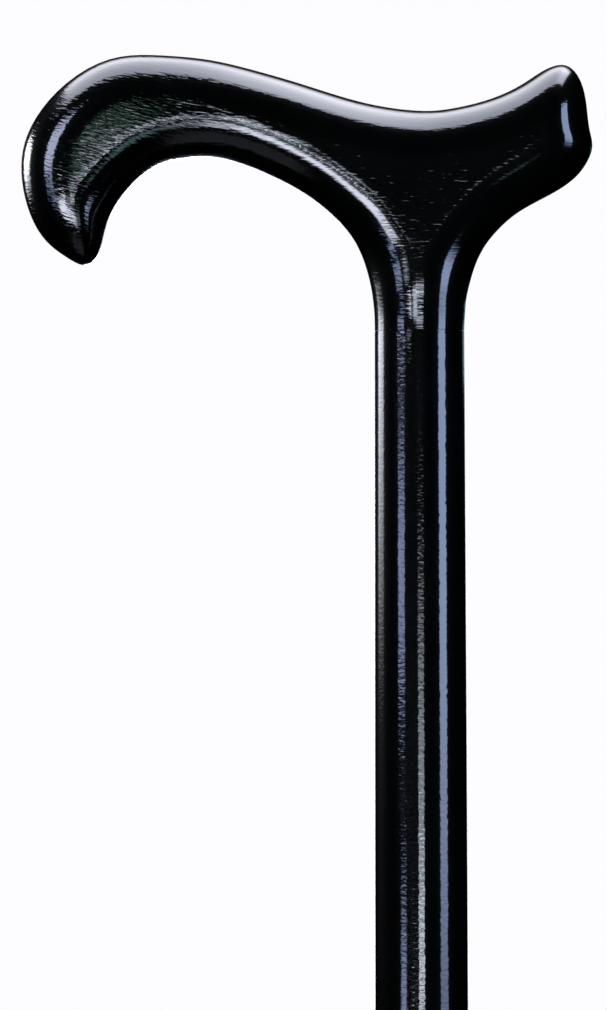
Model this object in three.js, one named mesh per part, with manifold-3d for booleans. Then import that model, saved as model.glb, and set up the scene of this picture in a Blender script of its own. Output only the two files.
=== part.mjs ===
// A walking cane with a carved derby handle, a turned shaft and a rubber foot.
// Lengths are in millimetres, +Z is up, and the origin is the centre of the foot's flat base.
// The nose of the handle points along -X and its tail along +X.

import * as THREE from "three";
import { mergeVertices } from "three/addons/utils/BufferGeometryUtils.js";
import Module from "manifold-3d";

const wasm = await Module();
wasm.setup();

// Running gap between pieces that fit together, and how far a cut reaches past a face
const CLEARANCE = 0.3;
const OVERRUN = 1;

// Whole cane
const CANE_HEIGHT = 920;

// Handle, measured from the middle of its seam with the shaft
const CROWN_RISE = 68.5;
const NOSE_REACH = 98.6;
const TAIL_REACH = 43;
const HANDLE_HALF_THICKNESS = 12;
const SEAM_RADIUS = 11.1;

// Shaft
const SHAFT_BELLY_RADIUS = 11.6;
const SHAFT_BELLY_DROP = 260;
const SHAFT_TIP_RADIUS = 9.2;
const SHAFT_CHAMFER = 0.8;

// Threaded stud between the handle and the shaft
const STUD_RADIUS = 4;
const STUD_PITCH = 3;
const STUD_THREAD_DEPTH = 0.7;
const STUD_IN_HANDLE = 30;
const STUD_IN_SHAFT = 36;
const DRILL_POINT = 2.2;

// Rubber foot
const FOOT_HEIGHT = 46;
const FOOT_BASE_RADIUS = 18.5;
const FOOT_BASE_EDGE = 4.5;
const FOOT_WALL = 3.1;
const FOOT_SOCKET_DEPTH = 31;
const FOOT_RING_COUNT = 3;
const FOOT_RING_PROUD = 0.9;
const FOOT_RING_WIDTH = 3.2;
const FOOT_MOUTH_CHAMFER = 0.9;
const TREAD_DEPTH = 1.6;
const TREAD_GROOVE_WIDTH = 1.8;

// Steel disc under the end of the shaft
const WASHER_THICKNESS = 1.2;

const SEAM_HEIGHT = CANE_HEIGHT - CROWN_RISE;
const SOCKET_FLOOR = FOOT_HEIGHT - FOOT_SOCKET_DEPTH;
const SOCKET_RADIUS = SHAFT_TIP_RADIUS + CLEARANCE;
const FOOT_COLLAR_RADIUS = SOCKET_RADIUS + FOOT_WALL;
const SHAFT_FOOT = SOCKET_FLOOR + WASHER_THICKNESS + 2 * CLEARANCE;
const STUD_BORE_RADIUS = STUD_RADIUS + CLEARANCE;

// Handle outline. A row is one place on the edge: its x and z, the x and z of the crest line
// that the rounding rises to there, and the half thickness of the handle on that crest.
// x is a share of the nose reach to the left of the shaft and of the tail reach to the right,
// z is a share of the crown rise, and the thickness is a share of the half thickness.
const topEdgeShares = [
  [-0.837, 0.242, -0.873, 0.532, 0.98],
  [-0.882, 0.266, -0.876, 0.534, 0.98],
  [-0.938, 0.329, -0.879, 0.540, 0.98],
  [-0.980, 0.433, -0.881, 0.554, 0.98],
  [-1.000, 0.575, -0.882, 0.592, 0.99],
  [-0.985, 0.713, -0.870, 0.657, 1.00],
  [-0.909, 0.871, -0.830, 0.739, 1.02],
  [-0.777, 0.987, -0.740, 0.814, 1.03],
  [-0.644, 1.000, -0.643, 0.826, 1.02],
  [-0.522, 0.982, -0.544, 0.812, 1.02],
  [-0.416, 0.946, -0.444, 0.782, 1.01],
  [-0.317, 0.905, -0.351, 0.742, 1.01],
  [-0.228, 0.864, -0.263, 0.699, 1.01],
  [-0.150, 0.831, -0.178, 0.664, 1.02],
  [-0.081, 0.810, -0.097, 0.639, 1.02],
  [-0.020, 0.799, -0.027, 0.628, 1.02],
  [0.084, 0.797, 0.088, 0.626, 1.02],
  [0.200, 0.806, 0.223, 0.635, 1.02],
  [0.326, 0.823, 0.372, 0.654, 1.02],
  [0.464, 0.851, 0.521, 0.687, 1.02],
  [0.604, 0.895, 0.633, 0.719, 1.02],
  [0.728, 0.944, 0.688, 0.738, 1.02],
  [0.846, 0.960, 0.712, 0.742, 1.02],
  [0.927, 0.911, 0.721, 0.739, 1.02],
  [0.966, 0.821, 0.726, 0.730, 1.02],
  [0.984, 0.728, 0.726, 0.721, 1.02],
];

// Underside of the nose and arch, from beside the nose tip to the left of the neck
const archEdgeShares = [
  [-0.808, 0.281, -0.870, 0.533, 0.98],
  [-0.794, 0.346, -0.866, 0.537, 0.98],
  [-0.780, 0.413, -0.859, 0.546, 0.98],
  [-0.758, 0.470, -0.841, 0.572, 0.99],
  [-0.722, 0.534, -0.795, 0.645, 1.00],
  [-0.669, 0.593, -0.714, 0.728, 1.03],
  [-0.608, 0.620, -0.625, 0.769, 1.03],
  [-0.541, 0.629, -0.538, 0.780, 1.02],
  [-0.470, 0.617, -0.446, 0.763, 1.01],
  [-0.401, 0.582, -0.361, 0.722, 1.01],
  [-0.337, 0.539, -0.284, 0.673, 1.01],
  [-0.278, 0.489, -0.216, 0.615, 1.02],
  [-0.227, 0.432, -0.150, 0.545, 1.02],
  [-0.183, 0.367, -0.093, 0.468, 1.02],
  [-0.153, 0.300, -0.048, 0.378, 1.02],
  [-0.132, 0.220, -0.010, 0.280, 1.02],
];

// Underside of the tail, from the right of the neck to below the tail end
const tailEdgeShares = [
  [0.315, 0.223, 0.023, 0.280, 1.02],
  [0.373, 0.301, 0.107, 0.376, 1.02],
  [0.453, 0.364, 0.223, 0.467, 1.02],
  [0.554, 0.420, 0.372, 0.551, 1.02],
  [0.687, 0.469, 0.533, 0.621, 1.02],
  [0.812, 0.512, 0.647, 0.672, 1.02],
  [0.909, 0.559, 0.698, 0.699, 1.02],
  [0.966, 0.606, 0.716, 0.708, 1.02],
  [1.000, 0.664, 0.723, 0.715, 1.02],
];

// Neck, from the seam up. A row is the height and the crest height as shares of the crown rise,
// then the left and right reach, the crest's half width and the half thickness as shares of
// the seam radius.
const neckShares = [
  [0.000, 0.000, 1.000, 1.000, 0.027, 1.000],
  [0.036, 0.041, 1.003, 1.010, 0.029, 1.013],
  [0.073, 0.082, 1.013, 1.026, 0.032, 1.042],
  [0.111, 0.127, 1.037, 1.046, 0.038, 1.073],
  [0.149, 0.175, 1.070, 1.092, 0.045, 1.096],
];

const samplesPerSpan = 2;
const roundingSteps = 6;
const crestSteps = 2;
const turnedSides = 40;
const boreSides = 24;
const studSides = 10;
const curveSteps = 5;

function toSolid(geometry) {
  const bare = geometry.index ? geometry.toNonIndexed() : geometry.clone();
  bare.deleteAttribute("normal");
  bare.deleteAttribute("uv");
  const merged = mergeVertices(bare);
  const vertProperties = new Float32Array(merged.attributes.position.array);
  const triVerts = new Uint32Array(merged.index.array);
  return new wasm.Manifold(new wasm.Mesh({ numProp: 3, vertProperties, triVerts }));
}

function toGeometry(solid) {
  const mesh = solid.getMesh();
  const geometry = new THREE.BufferGeometry();
  geometry.setAttribute("position", new THREE.BufferAttribute(mesh.vertProperties, 3));
  geometry.setIndex(new THREE.BufferAttribute(mesh.triVerts, 1));
  return geometry;
}

// A list of triangles that leaves out those with two corners in one place
class Skin {
  constructor() {
    this.positions = [];
  }

  triangle(a, b, c) {
    if (a.equals(b) || b.equals(c) || c.equals(a)) return;
    this.positions.push(...a, ...b, ...c);
  }

  quad(a, b, c, d) {
    this.triangle(a, b, c);
    this.triangle(a, c, d);
  }

  geometry() {
    const geometry = new THREE.BufferGeometry();
    geometry.setAttribute("position", new THREE.Float32BufferAttribute(this.positions, 3));
    return mergeVertices(geometry);
  }
}

// Turns an outline of radius and height into a body round the Z axis
function turned(outline, sides) {
  return new THREE.LatheGeometry(outline, sides).rotateX(Math.PI / 2);
}

function acrossHandle(share) {
  return share * (share < 0 ? NOSE_REACH : TAIL_REACH);
}

function edgeStation([x, z, crestX, crestZ, thickness]) {
  return {
    edge: new THREE.Vector3(acrossHandle(x), 0, z * CROWN_RISE),
    crest: new THREE.Vector3(
      acrossHandle(crestX),
      thickness * HANDLE_HALF_THICKNESS,
      crestZ * CROWN_RISE,
    ),
  };
}

function neckStation([z, crestZ, left, right, crestHalfWidth, thickness], side) {
  const reach = side < 0 ? left : right;
  return {
    edge: new THREE.Vector3(side * reach * SEAM_RADIUS, 0, z * CROWN_RISE),
    crest: new THREE.Vector3(
      side * crestHalfWidth * SEAM_RADIUS,
      thickness * SEAM_RADIUS,
      crestZ * CROWN_RISE,
    ),
  };
}

// The edge of the handle in one run, from the seam's right side round the tail, over the top,
// round the nose and along the arch to the seam's left side
function handleStations() {
  return [
    ...neckShares.map((row) => neckStation(row, 1)),
    ...tailEdgeShares.map(edgeStation),
    ...topEdgeShares.map(edgeStation).reverse(),
    ...archEdgeShares.map(edgeStation),
    ...neckShares.map((row) => neckStation(row, -1)).reverse(),
  ];
}

// Both faces are the same: each rises from the edge to the crest line in a quarter of an
// ellipse, and runs level between the crest line's two sides
function handleGeometry() {
  const stations = handleStations();
  const last = (stations.length - 1) * samplesPerSpan;
  const edgeCurve = new THREE.CatmullRomCurve3(stations.map((station) => station.edge));
  const crestCurve = new THREE.CatmullRomCurve3(stations.map((station) => station.crest));
  const edges = edgeCurve.getPoints(last);
  const crests = crestCurve.getPoints(last);

  const neckTop = neckShares.length * samplesPerSpan;
  const tailEnd = neckTop + tailEdgeShares.length * samplesPerSpan;
  const noseTip = tailEnd + (topEdgeShares.length - 1) * samplesPerSpan;
  const archFoot = last - neckTop;
  const ribs = [];
  for (let under = tailEnd; under >= neckTop; under -= 1) {
    ribs.push([2 * tailEnd - under, under]);
  }
  for (let under = archFoot; under >= noseTip; under -= 1) {
    ribs.push([2 * noseTip - under, under]);
  }

  const skin = new Skin();
  const seamRing = [];
  for (const side of [-1, 1]) {
    const quad = (a, b, c, d) => (side < 0 ? skin.quad(a, b, c, d) : skin.quad(d, c, b, a));
    const onFace = (point) => new THREE.Vector3(point.x, side * point.y, point.z);
    const rounding = edges.map((edge, index) => {
      const crest = onFace(crests[index]);
      return Array.from({ length: roundingSteps + 1 }, (_, step) => {
        if (step === roundingSteps) return crest;
        const angle = (step / roundingSteps) * (Math.PI / 2);
        const point = crest.clone().lerp(edge, Math.cos(angle));
        point.y = crest.y * Math.sin(angle);
        return point;
      });
    });
    const crestOf = (index) => rounding[index][roundingSteps];

    for (let index = 0; index < last; index += 1) {
      for (let step = 0; step < roundingSteps; step += 1) {
        quad(
          rounding[index][step],
          rounding[index + 1][step],
          rounding[index + 1][step + 1],
          rounding[index][step + 1],
        );
      }
    }
    for (let index = 0; index < neckTop; index += 1) {
      const facing = last - index;
      quad(crestOf(index), crestOf(index + 1), crestOf(facing - 1), crestOf(facing));
    }
    const rows = ribs.map(([top, under]) =>
      Array.from({ length: crestSteps + 1 }, (_, step) =>
        crestOf(top).clone().lerp(crestOf(under), step / crestSteps),
      ),
    );
    for (let rib = 0; rib + 1 < rows.length; rib += 1) {
      for (let step = 0; step < crestSteps; step += 1) {
        quad(rows[rib][step], rows[rib + 1][step], rows[rib + 1][step + 1], rows[rib][step + 1]);
      }
    }
    const rightArc = rounding[0];
    const leftArc = [...rounding[last]].reverse();
    const arc = [...rightArc, ...leftArc];
    seamRing.push(...(side < 0 ? arc : arc.reverse()));
  }

  const seamMiddle = new THREE.Vector3();
  seamRing.forEach((point, index) => {
    skin.triangle(seamMiddle, point, seamRing[(index + 1) % seamRing.length]);
  });
  return skin.geometry();
}

function studBoreGeometry(depth) {
  const outline = [
    new THREE.Vector2(0, -OVERRUN),
    new THREE.Vector2(STUD_BORE_RADIUS, -OVERRUN),
    new THREE.Vector2(STUD_BORE_RADIUS, depth),
    new THREE.Vector2(0, depth + DRILL_POINT),
  ];
  return turned(outline, boreSides);
}

function makeHandle() {
  const body = toSolid(handleGeometry());
  const bore = toSolid(studBoreGeometry(STUD_IN_HANDLE + CLEARANCE));
  return toGeometry(body.subtract(bore));
}

// Outer radius of the shaft at a height: fullest at the belly, straight inside the foot
function shaftRadius(height) {
  const bellyHeight = SEAM_HEIGHT - SHAFT_BELLY_DROP;
  if (height <= FOOT_HEIGHT) return SHAFT_TIP_RADIUS;
  if (height < bellyHeight) {
    const drop = (bellyHeight - height) / (bellyHeight - FOOT_HEIGHT);
    const fullness = Math.cos((drop * Math.PI) / 2);
    return THREE.MathUtils.lerp(SHAFT_TIP_RADIUS, SHAFT_BELLY_RADIUS, fullness);
  }
  const rise = (height - bellyHeight) / SHAFT_BELLY_DROP;
  const fullness = Math.cos((rise * Math.PI) / 2);
  return THREE.MathUtils.lerp(SEAM_RADIUS, SHAFT_BELLY_RADIUS, fullness);
}

function makeShaft() {
  const top = SEAM_HEIGHT - CLEARANCE;
  const boreFloor = SEAM_HEIGHT - STUD_IN_SHAFT - CLEARANCE;
  const steps = 24;
  const outline = [
    new THREE.Vector2(0, SHAFT_FOOT),
    new THREE.Vector2(SHAFT_TIP_RADIUS - SHAFT_CHAMFER, SHAFT_FOOT),
    new THREE.Vector2(SHAFT_TIP_RADIUS, SHAFT_FOOT + SHAFT_CHAMFER),
  ];
  for (let step = 0; step <= steps; step += 1) {
    const height = THREE.MathUtils.lerp(FOOT_HEIGHT, top, step / steps);
    outline.push(new THREE.Vector2(shaftRadius(height), height));
  }
  outline.push(
    new THREE.Vector2(STUD_BORE_RADIUS, top),
    new THREE.Vector2(STUD_BORE_RADIUS, boreFloor),
    new THREE.Vector2(0, boreFloor - DRILL_POINT),
  );
  return turned(outline, turnedSides);
}

// A right-hand thread: the ridge climbs one pitch in each turn and fades out at both ends
function makeStud() {
  const bottom = SEAM_HEIGHT - STUD_IN_SHAFT;
  const top = SEAM_HEIGHT + STUD_IN_HANDLE;
  const rowsPerPitch = 4;
  const rows = Math.round(((top - bottom) / STUD_PITCH) * rowsPerPitch);
  const pointAt = (row, side) => {
    const turn = side / studSides;
    const height = THREE.MathUtils.lerp(bottom, top, row / rows);
    const phase = THREE.MathUtils.euclideanModulo((height - bottom) / STUD_PITCH - turn, 1);
    const ridge = 1 - Math.abs(2 * phase - 1);
    const fade = Math.min(1, row / rowsPerPitch, (rows - row) / rowsPerPitch);
    const radius = STUD_RADIUS - STUD_THREAD_DEPTH * (1 - ridge * fade);
    const angle = turn * 2 * Math.PI;
    return new THREE.Vector3(radius * Math.cos(angle), radius * Math.sin(angle), height);
  };
  const rings = Array.from({ length: rows + 1 }, (_, row) =>
    Array.from({ length: studSides }, (_, side) => pointAt(row, side)),
  );
  const skin = new Skin();
  for (let side = 0; side < studSides; side += 1) {
    const next = (side + 1) % studSides;
    skin.triangle(new THREE.Vector3(0, 0, bottom), rings[0][next], rings[0][side]);
    skin.triangle(new THREE.Vector3(0, 0, top), rings[rows][side], rings[rows][next]);
    for (let row = 0; row < rows; row += 1) {
      skin.quad(rings[row][side], rings[row][next], rings[row + 1][next], rings[row + 1][side]);
    }
  }
  return skin.geometry();
}

// Foot outline: tread under the base, flared skirt, collar with raised rings, then the socket
function footOutline() {
  const grooveMiddleShares = [0.42, 0.74];
  const edgeRoundShare = 0.35;
  const skirtSpreadShare = 0.5;
  const skirtRiseShare = 0.6;
  const edgeRound = FOOT_BASE_EDGE * edgeRoundShare;
  const path = new THREE.Path();
  path.moveTo(0, 0);
  for (const share of grooveMiddleShares) {
    const inner = share * FOOT_BASE_RADIUS - TREAD_GROOVE_WIDTH / 2;
    const outer = share * FOOT_BASE_RADIUS + TREAD_GROOVE_WIDTH / 2;
    path.lineTo(inner, 0);
    path.lineTo(inner, TREAD_DEPTH);
    path.lineTo(outer, TREAD_DEPTH);
    path.lineTo(outer, 0);
  }
  path.lineTo(FOOT_BASE_RADIUS - edgeRound, 0);
  path.quadraticCurveTo(FOOT_BASE_RADIUS, 0, FOOT_BASE_RADIUS, edgeRound);
  path.lineTo(FOOT_BASE_RADIUS, FOOT_BASE_EDGE);

  const skirtTop = SOCKET_FLOOR + WASHER_THICKNESS;
  path.bezierCurveTo(
    THREE.MathUtils.lerp(FOOT_BASE_RADIUS, FOOT_COLLAR_RADIUS, skirtSpreadShare),
    FOOT_BASE_EDGE,
    FOOT_COLLAR_RADIUS,
    THREE.MathUtils.lerp(FOOT_BASE_EDGE, skirtTop, skirtRiseShare),
    FOOT_COLLAR_RADIUS,
    skirtTop,
  );
  const ringSpacing = (FOOT_HEIGHT - skirtTop) / FOOT_RING_COUNT;
  for (let ring = 0; ring < FOOT_RING_COUNT; ring += 1) {
    const start = skirtTop + (ring + 1) * ringSpacing - FOOT_RING_WIDTH;
    const end = start + FOOT_RING_WIDTH;
    const isMouth = ring === FOOT_RING_COUNT - 1;
    path.lineTo(FOOT_COLLAR_RADIUS, start - FOOT_RING_PROUD);
    path.lineTo(FOOT_COLLAR_RADIUS + FOOT_RING_PROUD, start);
    path.lineTo(FOOT_COLLAR_RADIUS + FOOT_RING_PROUD, end - FOOT_RING_PROUD);
    path.lineTo(FOOT_COLLAR_RADIUS, end);
    if (isMouth) path.lineTo(SOCKET_RADIUS + FOOT_MOUTH_CHAMFER, end);
  }
  path.lineTo(SOCKET_RADIUS, FOOT_HEIGHT - FOOT_MOUTH_CHAMFER);
  path.lineTo(SOCKET_RADIUS, SOCKET_FLOOR);
  path.lineTo(0, SOCKET_FLOOR);
  return path.getPoints(curveSteps);
}

function makeWasher() {
  const bottom = SOCKET_FLOOR + CLEARANCE;
  const top = bottom + WASHER_THICKNESS;
  const radius = SOCKET_RADIUS - CLEARANCE;
  const rimBevel = WASHER_THICKNESS / 4;
  const outline = [
    new THREE.Vector2(0, bottom),
    new THREE.Vector2(radius - rimBevel, bottom),
    new THREE.Vector2(radius, bottom + rimBevel),
    new THREE.Vector2(radius, top - rimBevel),
    new THREE.Vector2(radius - rimBevel, top),
    new THREE.Vector2(0, top),
  ];
  return turned(outline, turnedSides);
}

function named(name, geometry, finish) {
  const mesh = new THREE.Mesh(geometry, new THREE.MeshStandardMaterial(finish));
  mesh.name = name;
  return mesh;
}

const blackLacquer = { color: 0x0a090b, roughness: 0.12, metalness: 0 };
const blackRubber = { color: 0x191919, roughness: 0.85, metalness: 0 };
const zincSteel = { color: 0x9fa2a4, roughness: 0.35, metalness: 1 };

const cane = new THREE.Group();
const handle = named("handle", makeHandle(), blackLacquer);
handle.position.z = SEAM_HEIGHT;
cane.add(handle);
cane.add(named("shaft", makeShaft(), blackLacquer));
cane.add(named("joint_stud", makeStud(), zincSteel));
cane.add(named("rubber_ferrule", turned(footOutline(), turnedSides), blackRubber));
cane.add(named("ferrule_washer", makeWasher(), zincSteel));

export default cane;
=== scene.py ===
"""Derby handle cane in black lacquered wood, with the finish of every surface, in metres, +Z up."""

import math

import bpy
import numpy as np
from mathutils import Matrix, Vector


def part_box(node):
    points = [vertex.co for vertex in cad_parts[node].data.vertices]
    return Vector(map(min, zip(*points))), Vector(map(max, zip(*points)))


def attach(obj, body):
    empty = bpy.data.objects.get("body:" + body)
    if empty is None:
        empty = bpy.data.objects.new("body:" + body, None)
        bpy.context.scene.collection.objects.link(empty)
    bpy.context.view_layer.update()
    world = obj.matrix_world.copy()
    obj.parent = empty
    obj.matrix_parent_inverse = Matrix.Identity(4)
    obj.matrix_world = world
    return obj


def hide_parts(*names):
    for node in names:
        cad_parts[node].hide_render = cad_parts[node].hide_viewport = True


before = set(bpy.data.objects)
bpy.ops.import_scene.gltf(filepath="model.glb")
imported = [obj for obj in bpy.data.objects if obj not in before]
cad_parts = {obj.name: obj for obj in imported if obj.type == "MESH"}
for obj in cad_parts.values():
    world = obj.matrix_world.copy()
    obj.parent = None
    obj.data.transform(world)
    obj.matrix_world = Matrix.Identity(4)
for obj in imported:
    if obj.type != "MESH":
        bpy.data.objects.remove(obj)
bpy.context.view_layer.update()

MILLIMETRE = 0.001

handle_low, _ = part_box("handle")
shaft_low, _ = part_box("shaft")
_, foot_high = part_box("rubber_ferrule")
stud_low, stud_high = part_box("joint_stud")
washer_low, washer_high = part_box("ferrule_washer")

# Handle's outline

# Each row holds x and z of the edge and x and z of the crest line, as shares of the handle's
# reach and rise, and then the half thickness as a share of the usual one.
top_edge_shares = [
    [-0.837, 0.242, -0.873, 0.532, 0.98],
    [-0.882, 0.266, -0.876, 0.534, 0.98],
    [-0.938, 0.329, -0.879, 0.540, 0.98],
    [-0.980, 0.433, -0.881, 0.554, 0.98],
    [-1.000, 0.575, -0.882, 0.592, 0.99],
    [-0.985, 0.713, -0.870, 0.657, 1.00],
    [-0.909, 0.871, -0.830, 0.739, 1.02],
    [-0.777, 0.987, -0.740, 0.814, 1.03],
    [-0.644, 1.000, -0.643, 0.826, 1.02],
    [-0.522, 0.982, -0.544, 0.812, 1.02],
    [-0.416, 0.946, -0.444, 0.782, 1.01],
    [-0.317, 0.905, -0.351, 0.742, 1.01],
    [-0.228, 0.864, -0.263, 0.699, 1.01],
    [-0.150, 0.831, -0.178, 0.664, 1.02],
    [-0.081, 0.810, -0.097, 0.639, 1.02],
    [-0.020, 0.799, -0.027, 0.628, 1.02],
    [0.084, 0.797, 0.088, 0.626, 1.02],
    [0.200, 0.806, 0.223, 0.635, 1.02],
    [0.326, 0.823, 0.372, 0.654, 1.02],
    [0.464, 0.851, 0.521, 0.687, 1.02],
    [0.604, 0.895, 0.633, 0.719, 1.02],
    [0.728, 0.944, 0.688, 0.738, 1.02],
    [0.846, 0.960, 0.712, 0.742, 1.02],
    [0.927, 0.911, 0.721, 0.739, 1.02],
    [0.966, 0.821, 0.726, 0.730, 1.02],
    [0.984, 0.728, 0.726, 0.721, 1.02],
]
arch_edge_shares = [
    [-0.808, 0.281, -0.870, 0.533, 0.98],
    [-0.794, 0.346, -0.866, 0.537, 0.98],
    [-0.780, 0.413, -0.859, 0.546, 0.98],
    [-0.758, 0.470, -0.841, 0.572, 0.99],
    [-0.722, 0.534, -0.795, 0.645, 1.00],
    [-0.669, 0.593, -0.714, 0.728, 1.03],
    [-0.608, 0.620, -0.625, 0.769, 1.03],
    [-0.541, 0.629, -0.538, 0.780, 1.02],
    [-0.470, 0.617, -0.446, 0.763, 1.01],
    [-0.401, 0.582, -0.361, 0.722, 1.01],
    [-0.337, 0.539, -0.284, 0.673, 1.01],
    [-0.278, 0.489, -0.216, 0.615, 1.02],
    [-0.227, 0.432, -0.150, 0.545, 1.02],
    [-0.183, 0.367, -0.093, 0.468, 1.02],
    [-0.153, 0.300, -0.048, 0.378, 1.02],
    [-0.132, 0.220, -0.010, 0.280, 1.02],
]
tail_edge_shares = [
    [0.315, 0.223, 0.023, 0.280, 1.02],
    [0.373, 0.301, 0.107, 0.376, 1.02],
    [0.453, 0.364, 0.223, 0.467, 1.02],
    [0.554, 0.420, 0.372, 0.551, 1.02],
    [0.687, 0.469, 0.533, 0.621, 1.02],
    [0.812, 0.512, 0.647, 0.672, 1.02],
    [0.909, 0.559, 0.698, 0.699, 1.02],
    [0.966, 0.606, 0.716, 0.708, 1.02],
    [1.000, 0.664, 0.723, 0.715, 1.02],
]
# Neck, from the seam up: z of the edge and of the crest line as shares of the rise, then the
# left and right reach, the crest's half width and the half thickness as shares of the radius
neck_shares = [
    [0.000, 0.000, 1.000, 1.000, 0.027, 1.000],
    [0.036, 0.041, 1.003, 1.010, 0.029, 1.013],
    [0.073, 0.082, 1.013, 1.026, 0.032, 1.042],
    [0.111, 0.127, 1.037, 1.046, 0.038, 1.073],
    [0.149, 0.175, 1.070, 1.092, 0.045, 1.096],
]

# Handle's sizes

SEAM_HEIGHT = handle_low.z
CROWN_RISE = 68.5 * MILLIMETRE
NOSE_REACH = 98.6 * MILLIMETRE
TAIL_REACH = 43.0 * MILLIMETRE
HALF_THICKNESS = 12 * MILLIMETRE
SEAM_RADIUS = 11.1 * MILLIMETRE
SEAM_CHAMFER = 0.03 * MILLIMETRE
SEAM_GAP = 0.03 * MILLIMETRE
BORE_SIDE_GAP = 0.3 * MILLIMETRE
BORE_RADIUS = stud_high.x + BORE_SIDE_GAP
BORE_END_GAP = 0.3 * MILLIMETRE
DRILL_POINT = 2.2 * MILLIMETRE
STATION_SAMPLES = 5
ROUNDING_STEPS = 14
CREST_STEPS = 8
NOSE_MIDDLE_SHARE = 0.87
NOSE_RISE_SHARE = 0.56
NOSE_SOFT_REACH = 15 * MILLIMETRE
NOSE_SOFTNESS = 2.2 * MILLIMETRE
NOSE_SAMPLED_REACH = NOSE_SOFT_REACH + 3 * NOSE_SOFTNESS


# Node helpers

def link(tree, source, target):
    tree.links.new(source, target)


def principled(name):
    material = bpy.data.materials.new(name)
    material.use_nodes = True
    tree = material.node_tree
    return material, tree, tree.nodes["Principled BSDF"]


def noise(tree, coordinates, scale, turn=(0, 0, 0), detail=3.0, distortion=0.0):
    """Noise with its own scale along each axis, in features for each metre."""
    mapping = tree.nodes.new("ShaderNodeMapping")
    mapping.inputs["Rotation"].default_value = turn
    mapping.inputs["Scale"].default_value = scale
    texture = tree.nodes.new("ShaderNodeTexNoise")
    texture.inputs["Scale"].default_value = 1.0
    texture.inputs["Detail"].default_value = detail
    texture.inputs["Distortion"].default_value = distortion
    link(tree, coordinates, mapping.inputs["Vector"])
    link(tree, mapping.outputs["Vector"], texture.inputs["Vector"])
    return texture.outputs["Fac"]


def object_place(tree):
    """A place on the piece, in metres."""
    return tree.nodes.new("ShaderNodeTexCoord").outputs["Object"]


def axes(tree, place):
    """The X, Y and Z of a place."""
    node = tree.nodes.new("ShaderNodeSeparateXYZ")
    link(tree, place, node.inputs[0])
    return node.outputs


def ramp(tree, value, low, high, colour_low, colour_high):
    """A colour that runs from one to another while the value runs from low to high. The node's
    vector sockets share their names with its plain ones, so they are picked by number."""
    node = tree.nodes.new("ShaderNodeMapRange")
    node.data_type = "FLOAT_VECTOR"
    node.inputs[7].default_value = (low,) * 3
    node.inputs[8].default_value = (high,) * 3
    node.inputs[9].default_value = colour_low
    node.inputs[10].default_value = colour_high
    link(tree, value, node.inputs[6])
    return node.outputs[1]


def scalar_ramp(tree, value, low, high, out_low, out_high, shape="LINEAR"):
    """The same for a plain number."""
    node = tree.nodes.new("ShaderNodeMapRange")
    node.interpolation_type = shape
    node.inputs["From Min"].default_value = low
    node.inputs["From Max"].default_value = high
    node.inputs["To Min"].default_value = out_low
    node.inputs["To Max"].default_value = out_high
    link(tree, value, node.inputs["Value"])
    return node.outputs["Result"]


def smooth_ramp(tree, value, low, high, out_low, out_high):
    return scalar_ramp(tree, value, low, high, out_low, out_high, "SMOOTHSTEP")


def combined(tree, operation, first, second):
    """Two values put together by a maths node. Either may be a plain number."""
    node = tree.nodes.new("ShaderNodeMath")
    node.operation = operation
    for socket, value in zip(node.inputs, (first, second)):
        if isinstance(value, (int, float)):
            socket.default_value = value
        else:
            link(tree, value, socket)
    return node.outputs[0]


def product(tree, *values):
    """Any count of values multiplied together, the first of them not a plain number."""
    result = values[0]
    for value in values[1:]:
        result = combined(tree, "MULTIPLY", result, value)
    return result


def bump(tree, height, distance):
    """Relief whose height is given in steps of distance."""
    node = tree.nodes.new("ShaderNodeBump")
    node.inputs["Strength"].default_value = 1.0
    node.inputs["Distance"].default_value = distance
    link(tree, height, node.inputs["Height"])
    return node.outputs["Normal"]


# Camera

PHOTO_SIZE = (607, 1010)
SEAM_PIXEL = (419.5, 331.0)
PIXELS_PER_METRE = 4031.8
CAMERA_DISTANCE = 1.2
SHAFT_LEAN_PIXELS = 2.1
SHAFT_SEEN_PIXELS = 660
CAMERA_ROLL = math.atan2(SHAFT_LEAN_PIXELS, SHAFT_SEEN_PIXELS)
SENSOR_WIDTH = 36.0
CLIP_RANGE = (0.05, 100)


def add_camera():
    """Level, square on to the handle's face, with the photograph's slight roll."""
    right = (SEAM_PIXEL[0] - PHOTO_SIZE[0] / 2) / PIXELS_PER_METRE
    up = (PHOTO_SIZE[1] / 2 - SEAM_PIXEL[1]) / PIXELS_PER_METRE
    seam_right = right * math.cos(CAMERA_ROLL) + up * math.sin(CAMERA_ROLL)
    seam_up = up * math.cos(CAMERA_ROLL) - right * math.sin(CAMERA_ROLL)
    data = bpy.data.cameras.new("camera")
    data.sensor_width = SENSOR_WIDTH
    data.lens = SENSOR_WIDTH * CAMERA_DISTANCE * PIXELS_PER_METRE / PHOTO_SIZE[1]
    data.clip_start, data.clip_end = CLIP_RANGE
    camera = bpy.data.objects.new("camera", data)
    camera.location = (-seam_right, -CAMERA_DISTANCE, SEAM_HEIGHT - seam_up)
    camera.rotation_euler = (math.pi / 2, CAMERA_ROLL, 0)
    bpy.context.scene.collection.objects.link(camera)
    bpy.context.scene.camera = camera
    bpy.context.scene.view_settings.view_transform = "Standard"


# Backdrop

BACKDROP_COLOUR = (0.982, 0.973, 0.991, 1.0)
FILL_STRENGTH = 0.25
FLOOR_RADIUS = 6.0
FLOOR_SIDES = 96
FLOOR_SHADED_RADIUS = 0.25
FLOOR_EVEN_RADIUS = 1.4
FLOOR_COLOUR = (0.46, 0.445, 0.42, 1.0)
# Colour of the painted glow of the lit table, which only the lacquer's reflections show
TABLE_SHINE_COLOUR = (0.8, 0.85, 1.0, 1.0)

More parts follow.
